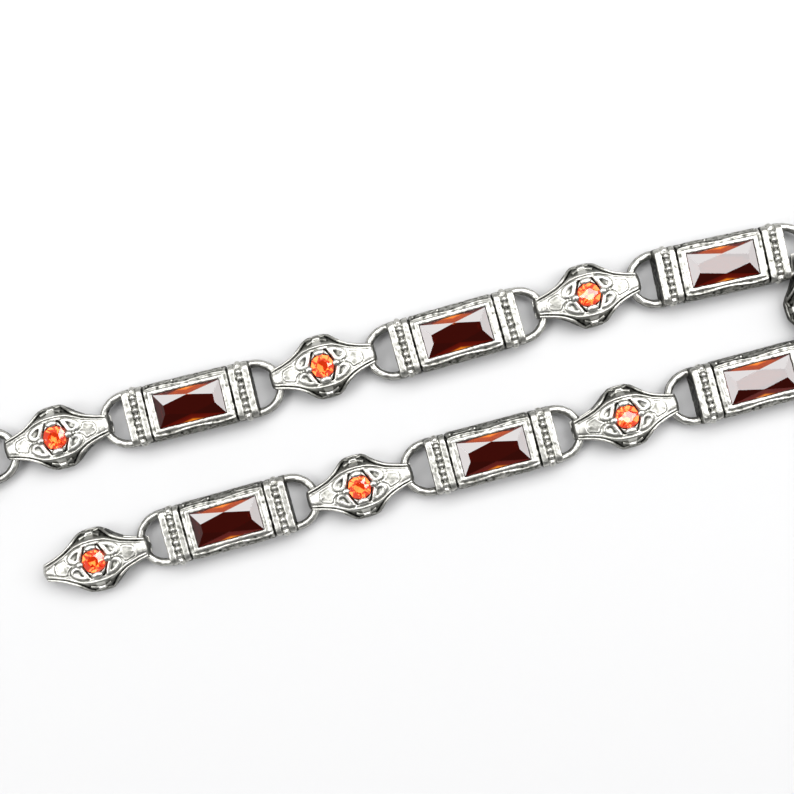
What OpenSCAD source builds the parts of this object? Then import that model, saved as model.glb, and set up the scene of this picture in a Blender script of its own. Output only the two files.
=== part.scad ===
// Silver link bracelet, laid out open in two strands with the bend at the right.
// Bar links carry a long red stone, flower links a small round orange stone in four claws.
// The end link closes the bracelet with a hook that catches the last bar link's loop.

/* [Chain] */
// Distance from one link's centre to the next along a strand
link_step = 14.5; // [14.3:0.05:14.5]
// Distance between the centre lines of the two strands
strand_gap = 12.96; // [12.9:0.02:13.5]

/* [Bar link] */
// Length of the box body without its end loops
bar_len = 13.7; // [13.5:0.05:13.8]
// Width of the box body
bar_w = 6.1; // [5.8:0.05:6.1]
// Height of the box body
bar_h = 3; // [2.8:0.05:3.2]
// Rounding of the two long top edges
bar_round = 0.83; // [0.5:0.05:1]
// Radius of an end loop, to the middle of its wire
loop_r = 2.6; // [2.55:0.01:2.62]
// Diameter of the loop wire
wire_d = 0.86; // [0.8:0.02:0.88]

/* [Flower link] */
// Length from one arm's end to the other
flower_len = 11.56; // [11.5:0.02:11.6]
// Width across the middle
flower_w = 6.7; // [6.3:0.1:6.8]
// Height of the dome at the middle
dome_h = 2.9; // [2.7:0.05:3.1]

/* [Stones] */
// Length of the long stone
long_l = 7.1; // [6.6:0.05:7.2]
// Width of the long stone
long_w = 3.55; // [3.2:0.05:3.6]
// Diameter of the round stone
round_d = 2.54; // [2.3:0.02:2.6]

/* [Hidden] */
$fn = 32;

BARS = 7;
FLOWERS = 6;

gap = 0.05;         // room round each stone and under the claws
through = 20;       // longer than anything it cuts
relief = 0.14;      // height of the cast ornament above its ground
weld = 0.02;        // overlap that makes two forms one casting
crown_h = 0.36;     // height of each stone's table above its girdle
girdle_h = 0.1;
wire_r = wire_d / 2;
wire_z = 1.15;      // height of the loops above the surface
stub = 0.16;        // straight start of each loop
loop_x = bar_len / 2 + stub;

// How each link lies, in chain order from the free end round the bend:
// [slide along the strand, shift across it, turn in degrees]
LIE = [
    [0.12, -1.98, 0],       // terminal link
    [0.15, -1.55, 0.6],     // bar link 1
    [0.03, -1.68, 0.9],     // flower link 1
    [0.08, -1.62, -0.1],    // bar link 2
    [0.03, -1.74, 0.6],     // flower link 2
    [0.07, -1.55, 0],       // bar link 3
    [0, 0, 0],              // flower link 3, crosswise in the bend
    [0.02, -1.78, -2.8],    // bar link 4
    [0.10, -1.28, 0],       // flower link 4
    [0.18, -1.58, 0.9],     // bar link 5
    [0.18, -1.35, 0.3],     // flower link 5
    [0.20, -1.58, -1.2],    // bar link 6
    [0.15, -1.38, -0.3],    // flower link 6
    [0.20, -1.48, 0]        // bar link 7
];
BEND = 6;           // place of the crosswise link in the chain
first_x = -35.25;   // start of the lower strand
back_x = 36.6;      // start of the upper strand
bend_reach = 1.75;  // the crosswise link beyond the middles of the loops it joins

function strand_x(i) = i < BEND
    ? first_x + i * link_step + LIE[i][0]
    : back_x - (i - BEND - 1) * link_step + LIE[i][0];
function strand_y(i) = (i < BEND ? -1 : 1) * strand_gap / 2 + LIE[i][1];

// Middle of a bar link's right-hand loop
function loop_end(i) = [
    strand_x(i) + loop_x * cos(LIE[i][2]),
    strand_y(i) + loop_x * sin(LIE[i][2])
];

// The crosswise link lies parallel to the line between the two loops that it joins
loop_a = loop_end(BEND - 1);
loop_b = loop_end(BEND + 1);
bend_turn = atan2(loop_b[1] - loop_a[1], loop_b[0] - loop_a[0]);
bend_at = (loop_a + loop_b) / 2 + bend_reach * [sin(bend_turn), -cos(bend_turn)];

// The box round the whole bracelet is centred on the origin
grain_out = 0.05;   // how far the grains on the flanks stand out
left_edge = strand_x(2 * BARS - 1) - loop_x - loop_r - wire_r;
right_edge = bend_at[0] + flower_w / 2 + grain_out;
middle = [(left_edge + right_edge) / 2, (strand_y(0) + strand_y(8)) / 2];

module lie(i) {
    at = i == BEND ? bend_at : [strand_x(i), strand_y(i)];
    translate([at[0] - middle[0], at[1] - middle[1], 0])
        rotate([0, 0, i == BEND ? bend_turn : LIE[i][2]])
            children();
}

// A bar's section, seen along it: a block with two rounded top edges
module bar_section(side_in = 0, top_in = 0) {
    half = bar_w / 2 - side_in;
    top = bar_h - top_in;
    r = bar_round;
    steps = 6;
    arc = [for (k = [0:steps]) [half - r + r * cos(90 * k / steps), top - r + r * sin(90 * k / steps)]];
    back = [for (k = [steps:-1:0]) [-arc[k][0], arc[k][1]]];
    polygon(concat([[-half, 0], [half, 0]], arc, back));
}

module along(length, x = 0) {
    translate([x, 0, 0])
        rotate([90, 0, 90])
            linear_extrude(height = length, center = true)
                children();
}

// Sizes of the bar's collars, from its end inwards
band_l = 0.75;
channel_l = 0.78;
inner_band_l = 0.68;
groove_l = 0.16;
channel_in = 0.2;
groove_in = 0.28;
core_side_in = 0.1; // the middle's sides lie nearly flush with the collars
core_top_in = 0.06;
scroll_out = 0.03;  // the scrolls stand out past the collars
frame_l = 8.65;     // raised frame round the long stone
frame_w = 4.3;
frame_h = 1;
frame_top = bar_h + 0.12;
bead_d = 0.62;
bead_step = 0.7;

// One row of grains over the top of a collar and down its rounded sides
module bead_row(x) {
    half = bar_w / 2 - channel_in;
    top = bar_h - channel_in;
    side_r = bar_round - channel_in / 2;
    flat = 3 * bead_step;
    for (k = [-3:3])
        translate([x, k * bead_step, top])
            sphere(d = bead_d);
    for (s = [-1, 1], turn = [41, 86])
        translate([x, s * (flat + side_r * sin(turn)), top - side_r + side_r * cos(turn)])
            sphere(d = bead_d);
}

// Leaf between two arcs, lying along X
module leaf(length, width) {
    r = (length * length / 4 + width * width / 4) / width;
    intersection() {
        translate([0, r - width / 2]) circle(r = r);
        translate([0, width / 2 - r]) circle(r = r);
    }
}

module leaf_ring(length, width, rim) {
    difference() {
        leaf(length, width);
        leaf(length - 3 * rim, width - 2 * rim);
    }
}

// Raised scrolls on the bar's side walls, under a plain wire
module side_scrolls() {
    leaf_l = 2.6;
    leaf_w = 1.1;
    spread = 2.9;
    middle_leaf_l = 3;
    middle_leaf_w = 0.9;
    middle_drop = 0.3;
    scroll_z = 1.35;
    rim = 0.2;
    wire_w = 0.3;
    wire_l = frame_l - 0.2;
    wire_up = 0.8;
    foot = bar_w / 2 - groove_in - relief;
    for (turn = [0, 180])
        rotate([0, 0, turn])
            translate([0, foot, scroll_z])
                rotate([-90, 0, 0])
                    linear_extrude(height = bar_w / 2 + scroll_out - foot) {
                        for (s = [-1, 1])
                            translate([s * spread, 0])
                                leaf_ring(leaf_l, leaf_w, rim);
                        translate([0, middle_drop])
                            leaf_ring(middle_leaf_l, middle_leaf_w, rim);
                        translate([-wire_l / 2, -wire_up])
                            square([wire_l, wire_w]);
                    }
}

// Half ring of wire that stands out of a bar's end
module end_loop() {
    sunk = 0.5;
    translate([loop_x, 0, wire_z]) {
        rotate([0, 0, -90])
            rotate_extrude(angle = 180)
                translate([loop_r, 0])
                    circle(r = wire_r);
        for (s = [-1, 1])
            translate([-stub - sunk, s * loop_r, 0])
                rotate([0, 90, 0])
                    cylinder(r = wire_r, h = stub + sunk);
    }
}

ledge_z = 2.69;
girdle_z = 2.87;    // underside of the long stone's girdle, clear of the ledge
pocket_z = 1.05;    // floor of the room under the long stone

module long_pocket() {
    shelf = 0.1;
    open_h = 2;
    translate([0, 0, ledge_z + open_h / 2])
        cube([long_l + 2 * gap, long_w + 2 * gap, open_h], center = true);
    translate([0, 0, (pocket_z + bar_h) / 2])
        cube([long_l - 2 * shelf, long_w - 2 * shelf, bar_h - pocket_z], center = true);
}

module bar_link() {
    half = bar_len / 2;
    collar = band_l + channel_l + inner_band_l;
    core = bar_len - 2 * collar - 2 * groove_l;
    channel_at = half - band_l - channel_l / 2;
    color("silver")
        difference() {
            union() {
                along(bar_len - weld) bar_section(groove_in, groove_in);
                for (s = [-1, 1]) {
                    along(band_l, s * (half - band_l / 2)) bar_section();
                    along(channel_l + 2 * weld, s * channel_at) bar_section(channel_in, channel_in);
                    along(inner_band_l, s * (half - band_l - channel_l - inner_band_l / 2)) bar_section();
                    bead_row(s * channel_at);
                }
                along(core) bar_section(core_side_in, core_top_in);
                side_scrolls();
                translate([0, 0, frame_top - frame_h / 2])
                    cube([frame_l, frame_w, frame_h], center = true);
                end_loop();
                mirror([1, 0, 0]) end_loop();
            }
            long_pocket();
        }
}

// Long stone: a hexagonal table, eight crown facets, a girdle and a keel below
module long_stone() {
    l = long_l / 2;
    w = long_w / 2;
    table_l = 0.75 * l;
    table_w = 0.26 * w;
    table_mid = 0.6 * w;
    keel = 0.62 * l;
    z0 = girdle_z;
    z1 = z0 + girdle_h;
    top = z1 + crown_h;
    low = pocket_z + gap;
    corners = [[-l, -w], [l, -w], [l, w], [-l, w]];
    points = concat(
        [for (c = corners) [c[0], c[1], z0]],
        [for (c = corners) [c[0], c[1], z1]],
        [
            [-table_l, -table_w, top], [0, -table_mid, top], [table_l, -table_w, top],
            [table_l, table_w, top], [0, table_mid, top], [-table_l, table_w, top],
            [-keel, 0, low], [keel, 0, low]
        ]
    );
    sides = [for (k = [0:3]) [k, k + 4, (k + 1) % 4 + 4, (k + 1) % 4]];
    crown = [
        [4, 9, 5], [4, 8, 9], [5, 9, 10], [5, 10, 11, 6],
        [6, 12, 7], [6, 11, 12], [7, 12, 13], [7, 13, 8, 4]
    ];
    table = [[8, 13, 12, 11, 10, 9]];
    below = [[0, 1, 15, 14], [2, 3, 14, 15], [1, 2, 15], [3, 0, 14]];
    color("darkred")
        polyhedron(points, concat(sides, crown, table, below));
}

// Height of the flower's dome, falling to its arms
arm_drop = 0.75;
function dome(x) = dome_h - arm_drop * pow(2 * x / flower_len, 2);

// Flower link from its middle to an arm's end:
// [place along it, half width, line between the two ribs, edge of the panel]
ARM = [
    [0, 3.35, 2.2, 1.75],
    [0.9, 3.3, 2.17, 1.72],
    [1.6, 2.82, 2.02, 1.55],
    [2.3, 2.2, 1.75, 1.25],
    [3.1, 1.7, 1.36, 0.92],
    [3.8, 1.47, 1.13, 0.74],
    [4.6, 1.22, 0.92, 0.6],
    [5.3, 1.06, 0.8, 0.48],
    [5.78, 1, 0.74, 0.44]
];
// The end link's left arm, which narrows to a round nose
NOSE = concat(
    [for (k = [0:3]) ARM[k]],
    [
        [3.1, 1.75, 1.36, 0.85],
        [3.8, 1.42, 1.08, 0.58],
        [4.6, 1.1, 0.8, 0.3],
        [5.3, 0.86, 0.55, 0.06],
        [5.62, 0.66, 0.36, 0.03],
        [5.78, 0.3, 0.16, 0.02]
    ]
);
stretch = flower_len / (2 * ARM[len(ARM) - 1][0]);
widen = flower_w / (2 * ARM[0][1]);

// Plan of the link out to one of the columns of the two tables
module plan(column, left, trim = 0) {
    half = concat(
        [for (k = [len(left) - 1:-1:1]) [-left[k][0] * stretch, left[k][column] * widen - trim]],
        [for (row = ARM) [row[0] * stretch, row[column] * widen - trim]]
    );
    polygon(concat(half, [for (k = [len(half) - 1:-1:0]) [half[k][0], -half[k][1]]]));
}

// Everything under the dome, lowered or raised by a little
module under_dome(lift = 0) {
    end = flower_len / 2;
    foot_x = 3.1;       // the link stands on its middle, its arms lie a little higher
    arm_z = 0.15;
    dome_x = end - 0.4;
    steps = 8;
    right = concat(
        [[foot_x, 0], [foot_x + 2 * arm_z, arm_z]],
        [[end - 0.25, arm_z], [end, 0.5], [end, 1.75], [end - 0.12, 2]],
        [for (k = [steps:-1:1]) [k * dome_x / steps, dome(k * dome_x / steps) + lift]]
    );
    left = [for (k = [len(right) - 1:-1:0]) [-right[k][0], right[k][1]]];
    intersection() {
        children();
        rotate([90, 0, 0])
            linear_extrude(height = flower_w + 2, center = true)
                polygon(concat(right, [[0, dome_h + lift]], left));
    }
}

// The low flanks beside the flower slope from its edge down to their foot
flank_half = 3.1;
flank_edge_y = 2.1;
flank_foot_y = 3.42;
flank_foot_z = 1.1;
flank_edge_z = dome_h - 0.2;

module flanks(left) {
    intersection() {
        linear_extrude(height = dome_h) plan(1, left);
        along(2 * flank_half)
            polygon([
                [-flower_w, 0], [flower_w, 0],
                [flank_foot_y, flank_foot_z], [flank_edge_y, flank_edge_z],
                [-flank_edge_y, flank_edge_z], [-flank_foot_y, flank_foot_z]
            ]);
        under_dome()
            translate([-through / 2, -through / 2, 0]) cube(through);
    }
}

// Crossing ribs and a grain on each flank
module flank_ribs() {
    rib_l = 3.4;
    rib_w = 0.34;
    rib_turn = 24;
    grain_l = 0.8;
    grain_w = 0.5;
    sunk = 0.25;
    slope = atan2(flank_edge_z - flank_foot_z, flank_foot_y - flank_edge_y);
    for (turn = [0, 180])
        rotate([0, 0, turn])
            translate([0, (flank_edge_y + flank_foot_y) / 2, (flank_edge_z + flank_foot_z) / 2])
                rotate([-slope, 0, 0])
                    translate([0, 0, -sunk]) {
                        linear_extrude(height = sunk + relief)
                            for (s = [-1, 1])
                                rotate([0, 0, s * rib_turn])
                                    square([rib_l, rib_w], center = true);
                        linear_extrude(height = sunk + 2 * relief)
                            square([grain_l, grain_w], center = true);
                    }
}

petal_x = 1.8;
petal_y = 1.17;

module petals() {
    petal_l = 2.05;
    petal_w = 1.45;
    rim = 0.3;
    lean = atan2(petal_y, petal_x);
    for (mx = [0, 1], my = [0, 1])
        mirror([mx, 0, 0])
            mirror([0, my, 0])
                translate([petal_x, petal_y, 0])
                    rotate([0, 0, lean])
                        linear_extrude(height = through / 2)
                            leaf_ring(petal_l, petal_w, rim);
}

// Four claws hold the round stone
module claws() {
    reach = 1.63;
    claw_r = 0.32;
    tip_r = 0.33;
    claw_h = 1.28;
    root_z = 2;
    for (turn = [0, 90, 180, 270])
        rotate([0, 0, turn])
            translate([reach, 0, root_z]) {
                cylinder(r = claw_r, h = claw_h);
                translate([0, 0, claw_h])
                    sphere(r = tip_r);
            }
}

// An arm's eye: the loop wire runs through it, round a post at its end
eye_from = 3.1;
post_x = 5.41;
post_r = 0.32;

module eye() {
    eye_z = wire_r + 0.1;
    translate([0, 0, wire_z])
        difference() {
            translate([eye_from, -through / 2, -eye_z])
                cube([through, through, 2 * eye_z]);
            translate([post_x + post_r, 0, 0])
                cylinder(r = post_r, h = 3 * eye_z, center = true);
        }
}

module flower_solid(left) {
    edge = 0.04;        // the ground stops short of the outer rib's edge
    line = 0.06;        // sunk line between the two ribs
    flank_l = 3.6;      // the outer rib ends at the flanks
    under_dome(-relief)
        linear_extrude(height = dome_h) plan(1, left, edge);
    flanks(left);
    flank_ribs();
    under_dome(relief)
        union() {
            linear_extrude(height = through / 2)
                difference() {
                    plan(2, left);
                    plan(3, left);
                }
            petals();
        }
    under_dome()
        linear_extrude(height = dome_h)
            difference() {
                plan(1, left);
                plan(2, left, -line);
                square([flank_l, through], center = true);
            }
}

seat_z = 1.95;      // floor of the round stone's seat
seat_gap = 0.03;

module stone_seat() {
    translate([0, 0, seat_z])
        cylinder(d = round_d + 2 * seat_gap, h = through / 2);
}

module flower_link() {
    color("silver")
        difference() {
            union() {
                difference() {
                    flower_solid(ARM);
                    stone_seat();
                }
                claws();
            }
            eye();
            mirror([1, 0, 0]) eye();
        }
}

// Hook under the end link's nose: a strip bent back on itself, open towards the link
hook_t = 0.45;
hook_w = 1.1;
hook_top = 1.87;
hook_bend = -4.75;
hook_tip = -3.95;
hook_root = -2.95;

module hook_profile(grow = 0) {
    r = hook_top / 2;
    difference() {
        union() {
            translate([hook_bend, r]) circle(r = r + grow);
            translate([hook_bend, r]) square([hook_root - hook_bend, r + grow]);
            translate([hook_bend, 0]) square([hook_tip - hook_bend, r]);
        }
        if (grow == 0) {
            translate([hook_bend, r]) circle(r = r - hook_t);
            translate([hook_bend, hook_t]) square([through, 2 * (r - hook_t)]);
        }
    }
}

module clasp_hook() {
    color("silver")
        rotate([90, 0, 0])
            linear_extrude(height = hook_w, center = true)
                hook_profile();
}

module terminal_link() {
    under = 1;
    room_l = hook_root + gap - hook_bend;
    color("silver")
        difference() {
            union() {
                difference() {
                    flower_solid(NOSE);
                    stone_seat();
                }
                claws();
            }
            eye();
            rotate([90, 0, 0])
                linear_extrude(height = through, center = true) {
                    hook_profile(gap);
                    translate([-through, -under]) square([through + hook_root + gap, under + hook_top / 2]);
                    translate([hook_bend, -under]) square([room_l, under + hook_top + gap]);
                }
        }
}

// Round stone: an eight-sided table, sixteen crown facets and eight below
module round_stone() {
    n = 8;
    r = round_d / 2;
    table_r = 0.58 * r;
    z0 = dome_h + 0.06;
    z1 = z0 + girdle_h;
    top = z1 + crown_h;
    low = seat_z + gap;
    ring = [for (k = [0:n - 1]) [r * cos(360 * k / n), r * sin(360 * k / n)]];
    table = [for (k = [0:n - 1]) table_r * [cos(360 * (k + 0.5) / n), sin(360 * (k + 0.5) / n)]];
    points = concat(
        [for (p = ring) [p[0], p[1], z0]],
        [for (p = ring) [p[0], p[1], z1]],
        [for (p = table) [p[0], p[1], top]],
        [[0, 0, low]]
    );
    color("orangered")
        polyhedron(points, concat(
            [for (k = [0:n - 1]) [k, k + n, (k + 1) % n + n, (k + 1) % n]],
            [for (k = [0:n - 1]) [k + n, k + 2 * n, (k + 1) % n + n]],
            [for (k = [0:n - 1]) [(k + 1) % n + n, k + 2 * n, (k + 1) % n + 2 * n]],
            [[for (k = [n - 1:-1:0]) k + 2 * n]],
            [for (k = [0:n - 1]) [k, (k + 1) % n, 3 * n]]
        ));
}

lie(0) terminal_link();
lie(0) clasp_hook();
for (i = [1:BARS]) {
    lie(2 * i - 1) bar_link();
    lie(2 * i - 1) long_stone();
}
for (i = [1:FLOWERS])
    lie(2 * i) flower_link();
for (i = [0:FLOWERS])
    lie(2 * i) round_stone();
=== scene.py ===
# Silver link bracelet with red and orange stones, lying open in two strands.
# Sizes are in millimetres until a piece is put in its place, in metres.

import math

import bmesh
import bpy
import numpy as np
from mathutils import Matrix, Vector, noise
from mathutils.kdtree import KDTree


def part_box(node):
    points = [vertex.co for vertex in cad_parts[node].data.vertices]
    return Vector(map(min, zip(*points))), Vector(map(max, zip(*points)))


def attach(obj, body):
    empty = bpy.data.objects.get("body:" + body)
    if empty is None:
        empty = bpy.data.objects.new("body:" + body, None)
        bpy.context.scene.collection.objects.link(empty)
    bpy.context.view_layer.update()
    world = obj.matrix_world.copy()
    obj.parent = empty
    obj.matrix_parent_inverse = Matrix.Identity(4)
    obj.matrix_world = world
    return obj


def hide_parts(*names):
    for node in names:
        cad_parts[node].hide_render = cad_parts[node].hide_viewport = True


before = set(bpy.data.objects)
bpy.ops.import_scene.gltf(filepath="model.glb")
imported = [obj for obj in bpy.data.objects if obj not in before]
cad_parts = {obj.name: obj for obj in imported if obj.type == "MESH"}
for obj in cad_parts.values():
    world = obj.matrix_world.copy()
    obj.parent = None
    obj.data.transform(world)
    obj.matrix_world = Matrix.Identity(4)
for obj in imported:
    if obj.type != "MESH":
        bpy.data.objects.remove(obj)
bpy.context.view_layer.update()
mm = 0.001
print("frame loaded:", len(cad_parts), "nodes")


# Camera, table top and light

view = {
    "above": 137,            # camera height over the table
    "roll": 14.9,            # the strands rise this much to the right
    "lens": 58,
    "sensor": 36,
    "clip": (0.01, 10),      # in metres
    "aim": (5.56, 1.63),     # the middle of the view, in the bracelet's own frame
    "tableSize": 300,
}


def addCamera():
    cameraData = bpy.data.cameras.new("cameraAbove")
    cameraData.lens = view["lens"]
    cameraData.sensor_width = view["sensor"]
    cameraData.clip_start, cameraData.clip_end = view["clip"]
    camera = bpy.data.objects.new("cameraAbove", cameraData)
    camera.location = (view["aim"][0] * mm, view["aim"][1] * mm, view["above"] * mm)
    camera.rotation_euler = (0, 0, -math.radians(view["roll"]))
    bpy.context.collection.objects.link(camera)
    bpy.context.scene.camera = camera


def addTableTop():
    bm = bmesh.new()
    bmesh.ops.create_grid(bm, x_segments=1, y_segments=1, size=view["tableSize"] * mm)
    tableTop = newObject("tableTop", bm)
    tableTop.data.materials.append(whiteCard())


studio = {
    "panelHeight": 500,      # the softboxes hang level at this height
    "roomLight": 0.3,        # the room behind them
    "darkLight": 0.012,      # and its dark part over the camera and towards the near side
    "darkLean": 20,          # how far the dark part's middle leans to the near side, in degrees
    "darkEdges": (36, 44),   # its soft edge, in degrees from its middle
    "panels": {              # middle as parts of the height along X and Y, size, turn in degrees, strength
        "farPanel": ((0.4, 0.56), (1.95, 0.62), 0, 5.2),
        "rightPanel": ((1.25, -0.03), (2.1, 0.56), 0, 4.2),
        "leftPanel": ((-0.82, 0.05), (0.8, 0.8), 0, 5.0),
    },
}


def addStudio():
    height = studio["panelHeight"] * mm
    for name, (middle, size, turn, strength) in studio["panels"].items():
        panel = bpy.data.lights.new(name, "AREA")
        panel.shape = "RECTANGLE"
        panel.size, panel.size_y = size[0] * height, size[1] * height
        panel.energy = strength * math.pi * panel.size * panel.size_y
        lamp = bpy.data.objects.new(name, panel)
        lamp.location = (middle[0] * height, middle[1] * height, height)
        lamp.rotation_euler = (0, 0, math.radians(turn))
        bpy.context.collection.objects.link(lamp)
    room = bpy.data.worlds.new("room")
    bpy.context.scene.world = room
    room.use_nodes = True
    nodes, links = room.node_tree.nodes, room.node_tree.links
    way = nodes.new("ShaderNodeTexCoord")
    toDark = nodes.new("ShaderNodeVectorMath")
    toDark.operation = "DOT_PRODUCT"
    lean = math.radians(studio["darkLean"])
    toDark.inputs[1].default_value = (0, -math.sin(lean), math.cos(lean))
    links.new(way.outputs["Generated"], toDark.inputs[0])
    walls = nodes.new("ShaderNodeMapRange")
    far, near = (math.cos(math.radians(angle)) for angle in studio["darkEdges"])
    walls.inputs["From Min"].default_value = near
    walls.inputs["From Max"].default_value = far
    walls.inputs["To Min"].default_value = studio["roomLight"]
    walls.inputs["To Max"].default_value = studio["darkLight"]
    links.new(toDark.outputs["Value"], walls.inputs["Value"])
    links.new(walls.outputs["Result"], nodes["Background"].inputs["Strength"])
    nodes["Background"].inputs["Color"].default_value = (1, 1, 1, 1)
    bpy.context.scene.view_settings.view_transform = "Standard"


# Tools for the metal work

def newObject(name, bm):
    mesh = bpy.data.meshes.new(name)
    bm.to_mesh(mesh)
    bm.free()
    piece = bpy.data.objects.new(name, mesh)
    bpy.context.collection.objects.link(piece)
    return piece


def allEdges(verts):
    return list({edge for vert in verts for edge in vert.link_edges})


def addBlock(bm, size, centre, rounding=0.0, segments=3, turn=None):
    verts = bmesh.ops.create_cube(bm, size=1)["verts"]
    bmesh.ops.scale(bm, vec=size, verts=verts)
    if turn:
        bmesh.ops.rotate(bm, matrix=turn, verts=verts)
    bmesh.ops.translate(bm, vec=centre, verts=verts)
    if rounding:
        bmesh.ops.bevel(bm, geom=allEdges(verts), offset=rounding, affect="EDGES",
                        segments=segments, profile=0.5, material=-1)


def addBall(bm, centre, size, turn=None):
    verts = bmesh.ops.create_icosphere(bm, subdivisions=3, radius=1)["verts"]
    bmesh.ops.scale(bm, vec=size, verts=verts)
    if turn:
        bmesh.ops.rotate(bm, matrix=turn, verts=verts)
    bmesh.ops.translate(bm, vec=centre, verts=verts)


def vertsOf(geom):
    return [part for part in geom if isinstance(part, bmesh.types.BMVert)]


def facesOf(geom):
    return [part for part in geom if isinstance(part, bmesh.types.BMFace)]


def addLoft(bm, sections):
    # the first section's face is extruded again and again, onto each next section
    first = face = bm.faces.new([bm.verts.new(point) for point in sections[0]])
    for section in sections[1:]:
        grown = bmesh.ops.extrude_face_region(bm, geom=[face])["geom"]
        if face.is_valid and face != first:
            bmesh.ops.delete(bm, geom=[face], context="FACES_ONLY")
        face = facesOf(grown)[0]
        for vert, point in zip(face.verts, section):
            vert.co = point


def addWire(bm, points, radius, closed=False):
    curve = bpy.data.curves.new("wire", "CURVE")
    curve.dimensions = "3D"
    curve.bevel_depth = radius
    curve.bevel_resolution = 2
    curve.use_fill_caps = True
    spline = curve.splines.new("POLY")
    spline.points.add(len(points) - 1)
    for knot, point in zip(spline.points, points):
        knot.co = (*point, 1)
    spline.use_cyclic_u = closed
    holder = bpy.data.objects.new("wire", curve)
    mesh = bpy.data.meshes.new_from_object(holder)
    bm.from_mesh(mesh)
    bpy.data.objects.remove(holder)
    bpy.data.curves.remove(curve)
    bpy.data.meshes.remove(mesh)


def softened(points, rounds=3, closed=True):
    # cuts the corners of a path until it bends smoothly
    points = [Vector(point) for point in points]
    for _ in range(rounds):
        pairs = list(zip(points, points[1:] + points[:1] if closed else points[1:]))
        cut = [mix for a, b in pairs for mix in (a.lerp(b, 0.25), a.lerp(b, 0.75))]
        points = cut if closed else [points[0]] + cut[1:-1] + [points[-1]]
    return points


def applyModifiers(piece):
    evaluated = piece.evaluated_get(bpy.context.evaluated_depsgraph_get())
    mesh = bpy.data.meshes.new_from_object(evaluated)
    piece.modifiers.clear()
    old = piece.data
    piece.data = mesh
    bpy.data.meshes.remove(old)


def cutAway(piece, cutterMesh):
    bmesh.ops.recalc_face_normals(cutterMesh, faces=cutterMesh.faces)
    cutter = newObject("cutter", cutterMesh)
    modifier = piece.modifiers.new("cut", "BOOLEAN")
    modifier.operation = "DIFFERENCE"
    modifier.solver = "EXACT"
    modifier.object = cutter
    applyModifiers(piece)
    bpy.data.objects.remove(cutter)


def vertexArray(mesh, what):
    values = np.empty(len(mesh.vertices) * 3)
    mesh.vertices.foreach_get(what, values)
    return values.reshape(-1, 3)


def handWork(mesh, depth, size):
    # shallow uneven dents of filing and wear
    co, normal = vertexArray(mesh, "co"), vertexArray(mesh, "normal")
    waves = np.array([
        noise.noise(point) + 0.5 * noise.noise(point * 2.3)      # a coarse wave and a finer one
        for point in map(Vector, co / size)
    ])
    co += normal * (depth * waves)[:, None]
    co[:, 2] = np.maximum(co[:, 2], 0)      # nothing sinks into the table top
    mesh.vertices.foreach_set("co", co.ravel())
    mesh.update()
    return waves


def cast(bm, body, voxel, softness):
    # joins the overlapping parts into one cast skin
    bmesh.ops.recalc_face_normals(bm, faces=bm.faces)
    bm.from_mesh(body.data)
    bpy.data.objects.remove(body)
    casting = newObject("casting", bm)
    remesh = casting.modifiers.new("skin", "REMESH")
    remesh.mode = "VOXEL"
    remesh.voxel_size = voxel
    smooth = casting.modifiers.new("polish", "SMOOTH")
    smooth.factor = 0.5
    smooth.iterations = softness
    applyModifiers(casting)
    return casting


# Black oxide stays where the skin lies under the softened skin round it, and steep walls get painted shade
# besides

def hollows(mesh, rounds):
    count = len(mesh.vertices)
    co, normal = vertexArray(mesh, "co"), vertexArray(mesh, "normal")
    ends = np.empty(len(mesh.edges) * 2, dtype=np.int64)
    mesh.edges.foreach_get("vertices", ends)
    a, b = ends.reshape(-1, 2).T
    share = np.maximum(np.bincount(a, minlength=count) + np.bincount(b, minlength=count), 1)
    soft = co.copy()
    depths = []
    for done in range(1, max(rounds) + 1):
        around = [
            np.bincount(a, soft[b, axis], count) + np.bincount(b, soft[a, axis], count)
            for axis in range(3)
        ]
        soft = 0.5 * soft + 0.5 * np.stack(around, axis=1) / share[:, None]
        if done in rounds:
            depths.append(((soft - co) * normal).sum(axis=1))
    return co, normal, depths


oxideAndShadeLook = {
    "rounds": (12, 60),      # softening steps of a fine and a broad scale
    "shares": (0.75, 0.6),   # how much each scale counts
    "limits": (-0.15, 1.2),  # least and most that the hollows give
    "wallOxideAndShade": 0.7,             # extra darkness on steep walls: partly oxide, partly painted shade of faces turned from the light
    "wallFrom": 0.66,        # a wall begins where its normal points up less than this
    "wallRise": 1.4,
    "wallMost": 0.9,
    "dentRise": 2.2,         # stain in the dents: its rise and where it begins
    "dentFrom": 0.15,
}


def oxidiseAndShade(casting, look, lines):
    # blackDepths are the depths in mm that are fully black at each of the two scales
    waves = handWork(casting.data, *look["dents"])
    co, normal, depths = hollows(casting.data, oxideAndShadeLook["rounds"])
    amount = sum(
        share * np.clip(depth / full, -1, 1)
        for share, depth, full in zip(oxideAndShadeLook["shares"], depths, look["blackDepths"])
    )
    amount = np.clip(amount, *oxideAndShadeLook["limits"])
    # painted shade, with some oxide: faces that turn away from up are darkened
    steep = (oxideAndShadeLook["wallFrom"] - normal[:, 2]) * oxideAndShadeLook["wallRise"]
    amount += oxideAndShadeLook["wallOxideAndShade"] * np.clip(steep, 0, oxideAndShadeLook["wallMost"])
    low = -oxideAndShadeLook["dentRise"] * waves - oxideAndShadeLook["dentFrom"]
    amount += look["dentStain"] * np.clip(low, 0, 1) + lines(co, normal)
    tree = KDTree(len(co))
    for k, point in enumerate(co):
        tree.insert(point, k)
    tree.balance()
    thin = casting.modifiers.new("thin", "DECIMATE")
    thin.ratio = min(1, look["triangles"] / (2 * len(casting.data.polygons)))
    applyModifiers(casting)
    mesh = casting.data
    values = np.array([amount[tree.find(vert.co)[1]] for vert in mesh.vertices])
    layer = mesh.attributes.new("oxideAndShade", "FLOAT", "POINT")
    layer.data.foreach_set("value", values)
    mesh.shade_smooth()
    print("  ", casting.name, len(mesh.polygons), "faces")


# Bar link: a box body with collars of grains, a bezel, side scrolls and an end loop at each end

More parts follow.
